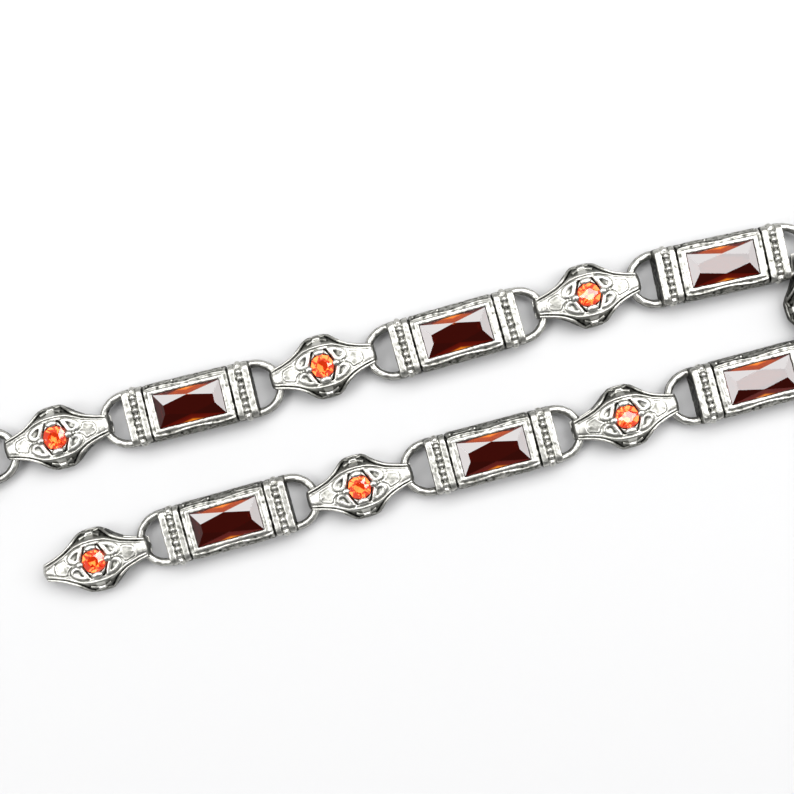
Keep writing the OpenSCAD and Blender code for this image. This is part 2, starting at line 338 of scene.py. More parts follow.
bar = {
    "length": 13.7,
    "width": 6.1,
    "height": 3.0,
    "shoulder": 0.83,        # rounding of the two long top edges
    "band": 0.75,            # from the end inwards: band, channel of grains, inner band, groove
    "channel": 0.78,
    "innerBand": 0.68,
    "groove": 0.16,
    "channelDepth": 0.1,
    "grooveDepth": 0.3,
    "sideDepth": 0.07,       # the middle part against the collars, at its sides and on its plate
    "plateDepth": 0.03,
    "grain": 0.35,           # radius of a grain
    "grainStep": 0.69,
    "grainSink": 0.04,       # their middles under the channel's floor, on top and at the sides
    "sideGrainSink": 0.1,
    "sideGrains": (0.68, 1.36, 2.04),    # how far each is below the top's edge
    "lipLength": 8.35,       # the bezel's raised lip round the stone
    "lipWidth": 4.6,
    "lipTop": 3.08,
    "lipThick": 1.2,
    "lipRounding": 0.2,
    "loopRadius": 2.6,
    "loopWire": 0.43,
    "loopStart": 0.16,
    "loopRoot": 0.7,         # part of the wire that is set into the body
    "loopHeight": 1.15,
    "bandRim": 0.09,         # ease of the bands' rims and of the middle part's
    "coreRim": 0.06,
    "tuck": 0.06,            # the channel runs this far under its bands
    "dents": (0.034, 0.5),   # depth and size
    "dentStain": 0.26,
    "blackDepths": (0.055, 0.17),    # in mm, at the fine and the broad scale
    "plateStain": 0.16,      # stains laid on by given masks, and minus where the metal is rubbed bright
    "footStain": -0.3,
    "channelStain": -0.45,
    # painted shade on the end loops' sides, which turn away from the light
    "loopSideShade": 0.3,
    "voxel": 0.055,
    "triangles": 66000,
}


def barSection(x, sideIn, topIn):
    half = bar["width"] / 2 - sideIn
    top = bar["height"] - topIn
    r = bar["shoulder"]
    arc = [
        (half - r + r * math.cos(t), top - r + r * math.sin(t))
        for t in np.linspace(0, math.pi / 2, 9)
    ]
    outline = [(half, 0)] + arc
    return [Vector((x, y, z)) for y, z in outline + [(-y, z) for y, z in reversed(outline)]]


def addBand(bm, fromX, toX, sideIn, topIn, ease=0.0):
    # a slice of the bar, its two rims eased a little
    sections = [barSection(fromX, sideIn + ease, topIn + ease), barSection(fromX + ease, sideIn, topIn)]
    sections += [barSection(toX - ease, sideIn, topIn), barSection(toX, sideIn + ease, topIn + ease)]
    addLoft(bm, sections if ease else sections[1:3])


def onFlank(x, drop, out=0.0):
    # a point on the bar's long side, measured down from the edge of its flat top round the shoulder
    half = bar["width"] / 2 - bar["sideDepth"] + out
    top = bar["height"] - bar["sideDepth"] + out
    r = bar["shoulder"] + out
    turn = min(drop / bar["shoulder"], math.pi / 2)
    down = max(0, drop - bar["shoulder"] * math.pi / 2)
    return Vector((x, half - r + r * math.sin(turn), top - r + r * math.cos(turn) - down))


# the ornament of the long sides: every drop is measured down from the edge of the flat top
sideScrolls = {
    "short": 0.12,           # the wires end this far from the grooves
    "wave": 5.4,             # length of a wave
    "wires": (               # drop, depth of its waves, how far it stands out, radius
        (0.34, 0.09, 0.02, 0.12),
        (2.0, 0.2, 0, 0.11),
        (2.75, 0, 0, 0.13),
    ),
    "lenses": (              # place along the bar, drop, half length, half height
        (-2.7, 0.98, 1.15, 0.27),
        (2.7, 0.98, 1.15, 0.27),
        (0, 1.3, 1.35, 0.3),
    ),
    "lensWire": 0.1,
    "lensBar": 0.55,         # the bar in a lens, as a part of its length
    "seeds": (-1.3, 1.3, -4.0, 4.0),
    "seedDrop": 0.85,
    "seed": 0.14,
}


def addSideScrolls(bm, side):
    def wire(path, radius, closed=False):
        addWire(bm, [Vector((p.x * side, p.y * side, p.z)) for p in path], radius, closed)

    reach = bar["length"] / 2 - bar["band"] - bar["channel"] - bar["innerBand"] - bar["groove"]
    reach -= sideScrolls["short"]
    along = np.linspace(-reach, reach, 61)
    period = 2 * math.pi / sideScrolls["wave"]
    for drop, wave, out, radius in sideScrolls["wires"]:
        wire([onFlank(x, drop - wave * math.cos(period * x), out) for x in along], radius)
    for centre, drop, length, height in sideScrolls["lenses"]:
        lens = [
            onFlank(centre + length * math.cos(t), drop + height * math.sin(t))
            for t in np.linspace(0, 2 * math.pi, 33)[:-1]
        ]
        wire(lens, sideScrolls["lensWire"], closed=True)
        half = sideScrolls["lensBar"] * length
        wire([onFlank(centre - half, drop), onFlank(centre + half, drop)], sideScrolls["lensWire"])
    for centre in sideScrolls["seeds"]:
        seed = onFlank(centre, sideScrolls["seedDrop"])
        addBall(bm, (seed.x * side, seed.y * side, seed.z), (sideScrolls["seed"],) * 3)


def addGrainRow(bm, x):
    top = bar["height"] - bar["channelDepth"]
    grain = (bar["grain"],) * 3
    for k in range(-3, 4):
        addBall(bm, (x, k * bar["grainStep"], top - bar["grainSink"]), grain)
    for side in (-1, 1):
        for drop in bar["sideGrains"]:
            place = onFlank(x, drop, -bar["sideGrainSink"])
            addBall(bm, (x, side * place.y, place.z), grain)


def addEndLoop(bm):
    # a leg out of the body, half a turn and a leg back into it
    root, level = bar["loopRoot"], bar["loopHeight"]
    start = bar["length"] / 2 + bar["loopStart"]
    circle = bmesh.ops.create_circle(bm, cap_ends=True, segments=16, radius=bar["loopWire"])["verts"]
    bmesh.ops.rotate(bm, matrix=Matrix.Rotation(math.pi / 2, 3, "Y"), verts=circle)
    bmesh.ops.translate(bm, vec=(start - root, -bar["loopRadius"], level), verts=circle)
    leg = bmesh.ops.extrude_face_region(bm, geom=[circle[0].link_faces[0]])["geom"]
    bmesh.ops.translate(bm, vec=(root, 0, 0), verts=vertsOf(leg))
    bend = bmesh.ops.spin(
        bm, geom=facesOf(leg), cent=(start, 0, level), axis=(0, 0, 1), angle=math.pi,
        steps=40, use_duplicate=False,
    )["geom_last"]
    last = bmesh.ops.extrude_face_region(bm, geom=facesOf(bend))["geom"]
    bmesh.ops.translate(bm, vec=(-root, 0, 0), verts=vertsOf(last))


def makeBar():
    half = bar["length"] / 2
    body = bmesh.new()
    inner = half - bar["band"] - bar["channel"] - bar["innerBand"] - bar["groove"]
    addBand(body, -inner, inner, bar["sideDepth"], bar["plateDepth"], bar["coreRim"])
    core = newObject("core", body)
    lipMesh = bmesh.new()
    lipSize = (bar["lipLength"], bar["lipWidth"], bar["lipThick"])
    addBlock(lipMesh, lipSize, (0, 0, bar["lipTop"] - bar["lipThick"] / 2), bar["lipRounding"], 5)
    lip = newObject("lip", lipMesh)
    for part in (core, lip):
        for cutter in longPocketCuts():
            cutAway(part, cutter)
    bm = bmesh.new()
    bm.from_mesh(lip.data)
    bpy.data.objects.remove(lip)
    addBand(bm, -half + 0.02, -inner + 0.1, bar["grooveDepth"], bar["grooveDepth"])
    addBand(bm, inner - 0.1, half - 0.02, bar["grooveDepth"], bar["grooveDepth"])
    for side in (-1, 1):
        ends = [half, half - bar["band"]]
        ends.append(ends[-1] - bar["channel"])
        ends.append(ends[-1] - bar["innerBand"])
        rim = bar["bandRim"]
        depths = (0, bar["channelDepth"], 0.02)      # band, channel, inner band
        for reach, depth, ease in zip(zip(ends, ends[1:]), depths, (rim, 0, rim)):
            low, high = sorted(side * end for end in reach)
            spread = 0 if ease else bar["tuck"]
            addBand(bm, low - spread, high + spread, depth, depth, ease)
        addGrainRow(bm, side * (half - bar["band"] - bar["channel"] / 2))
        addSideScrolls(bm, side)
    addEndLoop(bm)
    turned = bmesh.new()
    addEndLoop(turned)
    bmesh.ops.rotate(turned, matrix=Matrix.Rotation(math.pi, 3, "Z"), verts=turned.verts)
    loopMesh = bpy.data.meshes.new("loop")
    turned.to_mesh(loopMesh)
    turned.free()
    bm.from_mesh(loopMesh)
    casting = cast(bm, core, bar["voxel"], 3)
    casting.name = "barMaster"

    def lines(co, normal):
        # the plate round the lip is left dark, its foot and the channels of the grains are rubbed bright,
        # and the end loops get painted shade on their sides
        x, y, z = np.abs(co[:, 0]), np.abs(co[:, 1]), co[:, 2]
        plate = (x < inner) & ((x > bar["lipLength"] / 2 - 0.05) | (y > bar["lipWidth"] / 2 - 0.05))
        channel = np.abs(x - half + bar["band"] + bar["channel"] / 2) < bar["channel"] / 2
        between = channel & (z < bar["height"] - 0.1) & (z > 0.3)
        # painted shade: the loop darkens where its normal turns away from up
        loop = (x > half + 0.15) * np.clip((0.5 - normal[:, 2]) * 2, 0, 1)
        foot = plate & (x < bar["lipLength"] / 2 + 0.14) & (y < bar["lipWidth"] / 2 + 0.14)
        stain = bar["plateStain"] * plate + bar["footStain"] * foot
        return stain + bar["channelStain"] * between + bar["loopSideShade"] * loop

    oxidiseAndShade(casting, bar, lines)
    return casting


# Long stone and its pocket

longStone = {
    "length": 7.1,
    "width": 3.55,
    "girdle": 2.87,          # height of its girdle's lower edge
    "girdleHeight": 0.1,
    "crown": 0.36,
    "low": 1.12,             # height of the keel
    "table": (0.75, 0.26, 0.6),   # table's ends and waist, as parts of the half sizes
    "keel": 0.62,
    "room": 0.05,
    "shelf": 0.1,
    "seatDepth": 0.15,       # the seat's ledge under the girdle
    "slant": 1.2,            # the slanting cut round the mouth, and how far under the lip's top it begins
    "slantFrom": 0.08,
    # painted shade: the table, corners and ends let almost no light through and look dark
    "shares": {"table": 0.04, "side": 1.0, "corner": 0.0, "end": 0.01, "below": 1.0},
}


def longPocketCuts():
    length = longStone["length"] + 2 * longStone["room"]
    width = longStone["width"] + 2 * longStone["room"]
    inset = 2 * (longStone["room"] + longStone["shelf"])
    seat = bmesh.new()
    addBlock(seat, (length, width, 2), (0, 0, longStone["girdle"] - longStone["seatDepth"] + 1))
    well = bmesh.new()
    addBlock(well, (length - inset, width - inset, 2), (0, 0, longStone["low"] - 0.05 + 1))
    mouth = bmesh.new()      # slants the lip's inner edge
    for vert in bmesh.ops.create_cube(mouth, size=1)["verts"]:
        wider = longStone["slant"] if vert.co.z > 0 else 0
        vert.co.x *= length + 2 * wider
        vert.co.y *= width + 2 * wider
        vert.co.z = bar["lipTop"] - longStone["slantFrom"] + wider
    return [seat, well, mouth]


joinWithin = 0.003           # vertices of a stone that lie closer than this are one


def cutFacets(bm, cuts):
    # each cut is a point and a direction: what lies beyond is ground away and the facet is closed
    for point, facing in cuts:
        geom = bm.verts[:] + bm.edges[:] + bm.faces[:]
        made = bmesh.ops.bisect_plane(bm, geom=geom, plane_co=point, plane_no=facing, clear_outer=True)
        rim = [part for part in made["geom_cut"] if isinstance(part, bmesh.types.BMEdge)]
        if rim:
            bmesh.ops.contextual_create(bm, geom=rim)
        bmesh.ops.remove_doubles(bm, verts=bm.verts, dist=joinWithin)


def facet(a, b, c):
    # the plane through three points, facing away from the stone's middle line
    a, b, c = Vector(a), Vector(b), Vector(c)
    inside = Vector((0, 0, 2.6))
    facing = (b - a).cross(c - a).normalized()
    return a, facing if facing.dot(a - inside) > 0 else -facing


def facetKind(normal):
    across, along = abs(normal.x) < 0.02, abs(normal.y) < 0.02
    if normal.z < 0.1:
        return "below"
    if normal.z > 0.995:
        return "table"
    return "end" if along else "side" if across else "corner"


def paintedFacetLight(stone, shares):
    # painted shade: the share of the light let through each kind of facet, which paints some facets dark
    layer = stone.data.attributes.new("paintedFacetLight", "FLOAT", "FACE")
    for face, value in zip(stone.data.polygons, layer.data):
        value.value = shares[facetKind(face.normal)]


def makeLongStone():
    l, w = longStone["length"] / 2, longStone["width"] / 2
    low = longStone["low"]
    girdle = longStone["girdle"]
    edge = girdle + longStone["girdleHeight"]
    top = edge + longStone["crown"]
    tableEnd, tableSide, waist = longStone["table"]
    corner = (tableEnd * l, tableSide * w, top)
    middle = (0, waist * w, top)
    keel = (longStone["keel"] * l, 0, low)
    bm = bmesh.new()
    addBlock(bm, (2 * l, 2 * w, top - low), (0, 0, (top + low) / 2))
    cuts = []
    for sx in (-1, 1):
        def at(p, sx=sx, sy=1):
            return (p[0] * sx, p[1] * sy, p[2])
        endTop, endLow = (sx * l, w, edge), (sx * l, -w, edge)
        cuts.append(facet(endTop, endLow, at(corner)))
        cuts.append(facet((sx * l, w, girdle), (sx * l, -w, girdle), at(keel)))
        for sy in (-1, 1):
            cuts.append(facet((sx * l, sy * w, edge), at(corner, sx, sy), at(middle, sx, sy)))
    for sy in (-1, 1):
        cuts.append(facet((-l, sy * w, edge), (l, sy * w, edge), (0, sy * waist * w, top)))
        cuts.append(facet((-l, sy * w, girdle), (l, sy * w, girdle), (0, 0, low)))
    cutFacets(bm, cuts)
    whole = bm.verts[:] + bm.edges[:] + bm.faces[:]
    bmesh.ops.bisect_plane(bm, geom=whole, plane_co=(0, 0, 0), plane_no=(1, 0, 0))
    bmesh.ops.remove_doubles(bm, verts=bm.verts, dist=joinWithin)
    stone = newObject("longStoneMaster", bm)
    # painted flash: the middle of each long top edge, where an orange glow is painted
    paintedFlash = stone.data.attributes.new("paintedFlash", "FLOAT", "POINT")
    for vert, value in zip(stone.data.vertices, paintedFlash.data):
        x, y, z = vert.co
        value.value = float(abs(x) < 0.01 and abs(y) > w - 0.01 and z > edge - 0.01)
    paintedFacetLight(stone, longStone["shares"])
    stone.data.materials.append(stoneGlass("garnetGlass", garnetLook))
    return stone


# Flower link: a low dome with two forked arms, four petals, four claws and ribs that cross on its flanks

flower = {
    "length": 11.56,
    "dome": 2.98,
    "armDrop": 0.75,         # the dome falls this much to the arm's end
    "tip": 0.55,             # rounding of the arm's tip, seen from the side
    "flankFoot": 1.1,
    "eyeFrom": 3.1,          # the slot for the loop wire
    "eyeHalf": 0.53,
    "post": (5.59, 0.18, 0.3),    # place and half sizes of the round post that closes the slot
    "pit": 1.32,             # radius of the stone's seat
    "pitFloor": 1.95,
    "dents": (0.02, 0.7),    # as for the bar link
    "dentStain": 0.06,
    "blackDepths": (0.07, 0.2),
    "carvingStain": 0.8,
    # the flanks are made darker
    "flankDarker": 0.28,
    "beadStain": -0.75,
    "voxel": 0.048,
    "triangles": 58000,
}

# from the middle to an arm's end: place, half width, line between the ribs, edge of the panel
armPlan = [
    (0, 3.3, 2.4, 2.01),
    (0.9, 3.25, 2.35, 1.97),
    (1.6, 2.82, 2.2, 1.84),
    (2.3, 2.24, 1.87, 1.56),
    (3.1, 1.72, 1.46, 1.14),
    (3.8, 1.47, 1.22, 0.92),
    (4.6, 1.22, 0.98, 0.7),
    (5.3, 1.06, 0.84, 0.58),
    (5.78, 1.0, 0.8, 0.54),
]
nosePlan = armPlan[:4] + [
    (3.1, 1.75, 1.44, 1.1),
    (3.8, 1.42, 1.16, 0.82),
    (4.6, 1.14, 0.9, 0.54),
    (5.3, 0.96, 0.72, 0.34),
    (5.62, 0.82, 0.57, 0.2),
    (5.78, 0.52, 0.34, 0.1),
]
# outlines in the first quarter of the plan, which the other three mirror
petalOutline = [
    (0.8, 1.84), (1.5, 1.8), (2.15, 1.58), (2.72, 1.12), (2.84, 0.68),
    (2.6, 0.24), (2.1, 0.06), (1.66, 0.12), (1.38, 0.36), (1.04, 1.1),
]
kiteOutline = [
    (2.36, -0.2), (2.36, 0.05), (2.8, 0.3), (3.04, 0.66), (3.1, 0.9), (3.8, 0.72), (4.3, 0.54), (4.4, -0.2),
]
seatHexagon = [(1.42, -0.2), (1.42, 0.05), (0.72, 1.62), (-0.2, 1.62)]


def planAt(x, column, nose=False):
    table = nosePlan if nose and x < 0 else armPlan
    return float(np.interp(abs(x), [row[0] for row in table], [row[column] for row in table]))


def domeAt(x):
    fall = flower["dome"] - flower["armDrop"] * (2 * x / flower["length"]) ** 2
    reach, tip = flower["length"] / 2, flower["tip"]
    past = max(0, abs(x) - reach + tip)
    return fall - 0.9 * (tip - math.sqrt(max(0, tip ** 2 - past ** 2)))


def flowerSection(x, nose):
    # half of the link's section at x, from its foot up to the middle of the dome, and its mirror image
    wide, ribLine, panel = (planAt(x, column, nose) for column in (1, 2, 3))
    low = float(np.interp(abs(x), (3.1, 3.4, 5.4, 5.78), (0, 0.15, 0.15, 0.6)))
    top = domeAt(x)
    foot = float(np.interp(abs(x), (1.8, 3.4), (flower["flankFoot"], top - 0.6)))
    half = [
        (wide - 0.12, low),
        (wide, low + 0.15),
        (wide, foot),
        (wide - 0.1, foot + 0.17),
        ((wide + ribLine) / 2, (foot + top) / 2 + 0.04),
        (ribLine + 0.03, top - 0.3),
        ((ribLine + panel) / 2, top - 0.16),
        (panel, top - 0.1),
        (panel * 0.6, top - 0.03),
        (panel * 0.2, top),
    ]
    return [Vector((x, y, z)) for y, z in half + [(-y, z) for y, z in reversed(half)]]


def inPlan(x, y, outline):
    inside = np.zeros(len(x), dtype=bool)
    for (x1, y1), (x2, y2) in zip(outline, outline[1:] + outline[:1]):
        crossed = (y1 > y) != (y2 > y)
        inside ^= crossed & (x < (x2 - x1) * (y - y1) / (y2 - y1 + 1e-9) + x1)
    return inside


def awayFrom(x, y, path):
    best = np.full(len(x), 100.0)
    for (x1, y1), (x2, y2) in zip(path, path[1:]):
        dx, dy = x2 - x1, y2 - y1
        t = np.clip(((x - x1) * dx + (y - y1) * dy) / (dx * dx + dy * dy + 1e-12), 0, 1)
        best = np.minimum(best, np.hypot(x - x1 - t * dx, y - y1 - t * dy))
    return best


def groove(distance, width):
    return np.exp(-(distance / width) ** 2)


def rounded(outline, rounds=2):
    return [(p.x, p.y) for p in softened([(x, y, 0) for x, y in outline], rounds)]


carving = {
    # width, depth and blackness of each line
    "petalLine": (0.06, 0.06, 0.14),
    "kiteLine": (0.06, 0.06, 0.16),
    "hexagonLine": (0.07, 0.22, 0.9),
    "panelLine": (0.06, 0.04, 0.06),
    "ribLine": (0.075, 0.14, 0.6),
    "ribCrown": 0.09,        # height of the rib between its two lines
    "petalRim": (0.26, 0.18, 0.045),     # distance from the petal's line, width, height
    "petalDish": (0.42, 0.12, 0.14, 0.25),    # distance where it begins, its slope, depth, blackness
    "kiteDish": (0.14, 0.08, 0.035, 0.15),
    "fade": (5.6, 0.5),      # the carving ends here and fades over this length
    "ribFrom": (1.9, 0.4),   # the rib's line leaves the dome's edge here
}


def flowerRelief(x, y, nose):
    # height of the carving over the smooth dome, and how black its lines are, at each place of the plan
    ax, ay = np.abs(x), np.abs(y)
    left = nose & (x < 0)
    arm, noseArm = np.array(armPlan).T, np.array(nosePlan).T

    def column(k):
        return np.where(left, np.interp(ax, noseArm[0], noseArm[k]), np.interp(ax, arm[0], arm[k]))

    def dished(distance, inside, dish):
        begin, slope, deep, black = dish
        amount = np.clip((distance - begin) / slope, 0, 1) * inside
        return deep * amount, black * amount

    ribLine, panel = column(2), column(3)
    fadeAt, fadeOver = carving["fade"]
    ends = np.clip((fadeAt - ax) / fadeOver, 0, 1)
    petal = rounded(petalOutline)
    kite = rounded(kiteOutline, 1)
    petalEdge = awayFrom(ax, ay, petal + petal[:1])
    kiteEdge = awayFrom(ax, ay, kite[:-1])
    hexagonEdge = awayFrom(ax, ay, seatHexagon)
    inPetal = inPlan(ax, ay, petal)
    height = np.zeros(len(x))
    stain = np.zeros(len(x))
    ribAt, ribOver = carving["ribFrom"]
    beyond = np.clip((ax - ribAt) / ribOver, 0, 1)
    for name, distance, share in (
        ("petalLine", petalEdge, 1),
        ("kiteLine", kiteEdge, 1),
        ("hexagonLine", hexagonEdge, 1),
        ("panelLine", ay - panel, 1),
        ("ribLine", ay - ribLine, beyond),
    ):
        wide, deep, black = carving[name]
        line = groove(distance, wide) * ends
        height -= deep * share * line
        stain += black * share * line
    middle, half = (ribLine + panel) / 2, (ribLine - panel) / 2 + 0.02
    height += carving["ribCrown"] * np.clip(1 - ((ay - middle) / half) ** 2, 0, 1) * ends
    rimAt, rimWide, rimHigh = carving["petalRim"]
    height += rimHigh * groove(petalEdge - rimAt, rimWide) * inPetal
    deep, black = dished(petalEdge, inPetal, carving["petalDish"])
    towardsStone = np.clip((2.15 - ax + 0.3 * (1.1 - ay)) / 0.5, 0.35, 1)
    height -= deep * towardsStone
    stain += black * towardsStone
    deep, black = dished(kiteEdge, inPlan(ax, ay, kite), carving["kiteDish"])
    return height - deep, stain + black


def carveFlower(core, nose):
    mesh = core.data
    co, normal = vertexArray(mesh, "co"), vertexArray(mesh, "normal")
    height, _ = flowerRelief(co[:, 0], co[:, 1], nose)
    faces = np.clip((normal[:, 2] - 0.15) / 0.3, 0, 1) * np.clip((co[:, 2] - 1.75) / 0.2, 0, 1)
    faces *= np.hypot(co[:, 0], co[:, 1]) > flower["pit"] - 0.02
    co[:, 2] += height * faces
    mesh.vertices.foreach_set("co", co.ravel())
    mesh.update()


# from the mid-side towards the arm: place along the link, distance from its middle line, height
outerRibPath = [(0.95, 3.13, 1.25), (1.25, 3.06, 1.6), (1.5, 2.86, 1.95), (1.85, 2.52, 2.25)]
crossRibPath = [
    (-1.15, 3.17, 1.27), (-0.5, 3.09, 1.57), (0, 2.95, 1.87), (0.5, 2.77, 2.19), (1.1, 2.57, 2.49),
]
armRibPlaces = (2.3, 3.0, 3.7, 4.4, 5.0, 5.45)
flankBead = (0.8, 0.72, 0.56)


def onFlowerFlank(x, t):
    # t runs from 0 at the dome's edge to 1 at the flank's foot
    upper = Vector((x, planAt(x, 2) + 0.08, domeAt(x) - 0.34))
    lower = Vector((x, planAt(x, 1) - 0.02, flower["flankFoot"] + 0.05))
    return upper.lerp(lower, t)


def addFlankRibs(bm, nose):
    slope = math.atan2(flower["dome"] - 0.3 - flower["flankFoot"], planAt(0, 1) - planAt(0, 2))
    for side in (-1, 1):
        for end in (-1, 1):
            armRib = [(x, planAt(end * x, 1, nose) - 0.13, domeAt(x) - 0.36) for x in armRibPlaces]
            for path, radius in ((outerRibPath + armRib, 0.16), (crossRibPath, 0.14)):
                mirrored = [(end * x, side * y, z) for x, y, z in path]
                addWire(bm, softened(mirrored, 2, closed=False), radius)
        foot = [onFlowerFlank(x, 1.0) for x in np.linspace(-1.5, 1.5, 21)]
        addWire(bm, [Vector((p.x, side * p.y, p.z)) for p in foot], 0.13)
        middle = onFlowerFlank(0, 0.52)
        beadAt = (0, side * (middle.y + 0.05), middle.z)
        addBlock(bm, flankBead, beadAt, 0.18, 3, Matrix.Rotation(-side * slope, 3, "X"))


claws = {
    "endReach": 1.5,         # the two claws that point to the arms: distance and size of their tips
    "endTip": (0.44, 0.37, 0.28),
    "sideReach": 1.46,       # the two broad ones at the sides
    "sideTip": (0.36, 0.64, 0.26),
    "tipHeight": 3.17,
    "tipLean": 0.1,
    "stem": (0.34, 1.5, 1.2),    # thickness, width as a part of the tip's half width, height
    "stemAt": (0.12, 2.5),   # behind the tip, and its middle's height
    "tail": (0.34, 0.17, 0.14),  # the end claws run out in a small drop
    "tailAt": (0.36, 3.0),
}


def addClaws(bm):
    for turn in (0, 90, 180, 270):
        kind = "end" if turn in (0, 180) else "side"
        reach, tip = claws[kind + "Reach"], claws[kind + "Tip"]
        around = Matrix.Rotation(math.radians(turn), 3, "Z")
        tipTurn = around @ Matrix.Rotation(claws["tipLean"], 3, "Y")
        addBall(bm, around @ Vector((reach, 0, claws["tipHeight"])), tip, tipTurn)
        thick, broad, high = claws["stem"]
        behind, level = claws["stemAt"]
        stemAt = around @ Vector((reach + behind, 0, level))
        addBlock(bm, (thick, tip[1] * broad, high), stemAt, 0.1, 2, around)
        if kind == "end":
            behind, level = claws["tailAt"]
            addBall(bm, around @ Vector((reach + behind, 0, level)), claws["tail"], around)


def makeFlower(nose=False):
    body = bmesh.new()
    half = flower["length"] / 2
    stations = np.concatenate([[-half], np.linspace(-half + 0.03, half - 0.03, 97), [half]])
    addLoft(body, [flowerSection(x, nose) for x in stations])
    bmesh.ops.recalc_face_normals(body, faces=body.faces)
    core = newObject("flowerBody", body)
    cuts = []
    seat = bmesh.new()
    pit, deep = flower["pit"], 4
    bmesh.ops.create_cone(seat, cap_ends=True, segments=48, radius1=pit, radius2=pit, depth=deep)
    bmesh.ops.translate(seat, vec=(0, 0, flower["pitFloor"] + deep / 2), verts=seat.verts)
    cuts.append(seat)
    for end in (1,) if nose else (-1, 1):
        eye = bmesh.new()
        low, high = flower["eyeFrom"], half + 1
        eyeAt = (end * (low + high) / 2, 0, bar["loopHeight"])
        addBlock(eye, (high - low, 8, 2 * flower["eyeHalf"]), eyeAt)
        cuts.append(eye)
    if nose:
        cuts.append(hookRoom())
    for cutter in cuts:
        cutAway(core, cutter)
    core = cast(bmesh.new(), core, flower["voxel"], 3)
    carveFlower(core, nose)
    bm = bmesh.new()
    addFlankRibs(bm, nose)
    addClaws(bm)
    at, thick, wide = flower["post"]
    for end in (1,) if nose else (-1, 1):
        post = bmesh.ops.create_cone(bm, cap_ends=True, segments=20, radius1=wide, radius2=wide,
                                     depth=2 * flower["eyeHalf"] + 0.4)["verts"]
        bmesh.ops.scale(bm, vec=(thick / wide, 1, 1), verts=post)
        bmesh.ops.translate(bm, vec=(end * at, 0, bar["loopHeight"]), verts=post)
    casting = cast(bm, core, flower["voxel"], 1)
    casting.name = "endMaster" if nose else "flowerMaster"

    def lines(co, normal):
        _, stain = flowerRelief(co[:, 0], co[:, 1], nose)
        onTop = np.clip((normal[:, 2] - 0.3) / 0.3, 0, 1) * (co[:, 2] < flower["dome"] + 0.06)
        x, y = np.abs(co[:, 0]), np.abs(co[:, 1])
        flank = (x < 2.3) & (y > np.interp(x, (0, 1.6, 2.3), (2.25, 2.1, 1.9))) & (co[:, 2] > 0.9)
        bead = (x < 0.44) & (y > 2.3) & (y < 3.05) & (co[:, 2] > 1.45)
        stain = stain * onTop * flower["carvingStain"]
        return stain + flower["flankDarker"] * flank + flower["beadStain"] * bead

    oxidiseAndShade(casting, flower, lines)
    return casting


# Hook under the end link's nose

hook = {
    "thick": 0.45,
    "wide": 1.1,
    "top": 1.87,
    "bend": -4.75,           # middle of the bend along the link
    "tip": -3.95,
    "root": -2.95,
    "edge": 0.1,             # rounding of its edges
    "stain": 0.1,
    "room": 0.05,
}


def hookRoom():
    # cuts the nose's underside away over the hook
    room = hook["room"]
    bm = bmesh.new()
    r = hook["top"] / 2 + room
    outline = [(hook["root"] + room, hook["top"] + room)]
    outline += [
        (hook["bend"] - r * math.sin(t), hook["top"] / 2 + r * math.cos(t))
        for t in np.linspace(0, math.pi / 2, 9)
    ]
    outline += [(-20, hook["top"] / 2), (-20, -1), (hook["root"] + room, -1)]
    face = bm.faces.new([bm.verts.new((x, -8, z)) for x, z in outline])
    grown = bmesh.ops.extrude_face_region(bm, geom=[face])["geom"]
    bmesh.ops.translate(bm, vec=(0, 16, 0), verts=vertsOf(grown))
    return bm


def makeHook():
    bm = bmesh.new()
    r = hook["top"] / 2
    half = hook["wide"] / 2
    low, high = hook["top"] - hook["thick"], hook["top"]
    section = ((-half, low), (half, low), (half, high), (-half, high))
    face = bm.faces.new([bm.verts.new((hook["root"], y, z)) for y, z in section])

    def grow(along, faces):
        grown = bmesh.ops.extrude_face_region(bm, geom=faces)["geom"]
        bmesh.ops.translate(bm, vec=(along, 0, 0), verts=vertsOf(grown))
        return facesOf(grown)

    end = grow(hook["bend"] - hook["root"], [face])
    turned = bmesh.ops.spin(bm, geom=end, cent=(hook["bend"], 0, r), axis=(0, 1, 0), angle=-math.pi,
                            steps=20, use_duplicate=False)["geom_last"]
    grow(hook["tip"] - hook["bend"], facesOf(turned))
    # faces left inside the strip by the extrusions share an edge with two outer faces
    inner = [part for part in bm.faces if all(len(edge.link_faces) > 2 for edge in part.edges)]
    bmesh.ops.delete(bm, geom=inner, context="FACES_ONLY")
    bmesh.ops.recalc_face_normals(bm, faces=bm.faces)
    sharp = [edge for edge in bm.edges if len(edge.link_faces) == 2 and edge.calc_face_angle() > 0.8]
    bmesh.ops.bevel(bm, geom=sharp, offset=hook["edge"], affect="EDGES", segments=4,
                    profile=0.5, material=-1)
    piece = newObject("hookMaster", bm)
    piece.data.shade_smooth()
    layer = piece.data.attributes.new("oxideAndShade", "FLOAT", "POINT")
    layer.data.foreach_set("value", [hook["stain"]] * len(piece.data.vertices))
    return piece


# Round stone

roundStone = {
    "radius": 1.27,
    "girdle": 2.96,
    "girdleHeight": 0.1,
    "crown": 0.36,
    "low": 2.02,
    "table": 0.48,           # the table's radius as a part of the stone's
    "sides": 8,
    # painted shade: the table lets a little less light through
    "shares": {"table": 0.8, "side": 1.0, "corner": 1.0, "end": 1.0, "below": 1.0},
}


